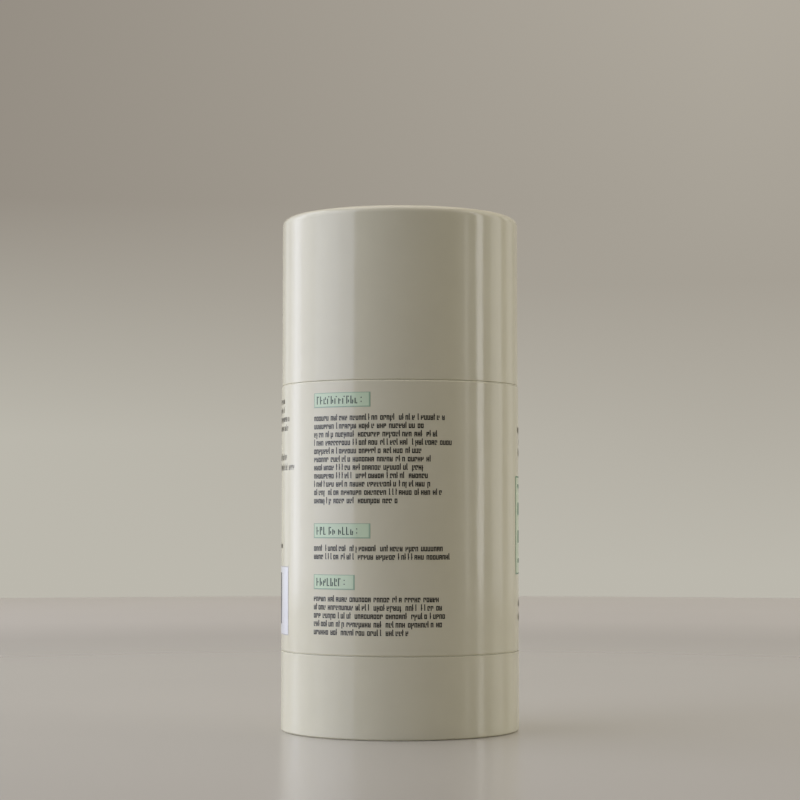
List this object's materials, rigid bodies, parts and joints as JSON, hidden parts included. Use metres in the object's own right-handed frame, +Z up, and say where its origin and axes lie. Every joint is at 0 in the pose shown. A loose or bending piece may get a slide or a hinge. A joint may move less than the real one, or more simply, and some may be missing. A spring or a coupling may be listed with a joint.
{
  "type": "deodorant stick",
  "caption": "Round twist-up deodorant stick: glossy off-white sleeve, pull-off cap, turning base, left-hand screw, keyed elevator and domed stick under a seal.",
  "frame": {"origin": "centre of the ring that the base stands on", "axes": "+Z up along the axis of the pack, towards the cap; -Y is the side that faces the viewer"},
  "size_m": [0.05, 0.05, 0.1074],
  "materials": {
    "shell_plastic": "high-gloss off-white moulded plastic",
    "barrel_plastic": "natural white moulded plastic, satin",
    "screw_plastic": "natural white moulded plastic, satin",
    "elevator_plastic": "natural white moulded plastic, satin",
    "stick_wax": "solid wax-based deodorant, smooth and faintly waxy",
    "seal_film": "translucent thin moulded cover",
    "green_print": "pale green ink under gloss",
    "dark_print": "dark grey-green ink under gloss",
    "white_print": "white ink under gloss"
  },
  "bodies": {
    "barrel": {"inner_barrel": "barrel_plastic", "outer_sleeve": "shell_plastic"},
    "cap": {"cap": "shell_plastic"},
    "base": {"base_dial": "shell_plastic", "lift_screw": "screw_plastic"},
    "lift": {"elevator": "elevator_plastic", "deodorant_stick": "stick_wax", "inner_seal": "seal_film"}
  },
  "joints": [
    {"name": "cap_lift", "type": "slide", "parent": "barrel", "child": "cap", "axis": [0, 0, 1], "range_m": [0, 0.04]},
    {"name": "base_turn", "type": "hinge", "parent": "barrel", "child": "base", "pos_m": [0, 0, 0], "axis": [0, 0, 1], "range_deg": [0, 1710]},
    {"name": "stick_rise", "type": "slide", "parent": "barrel", "child": "lift", "axis": [0, 0, 1], "range_m": [0, 0.019]}
  ],
  "couplings": [
    {"joint": "base_turn", "follows": "stick_rise", "rad_per_m": 1570.8}
  ]
}
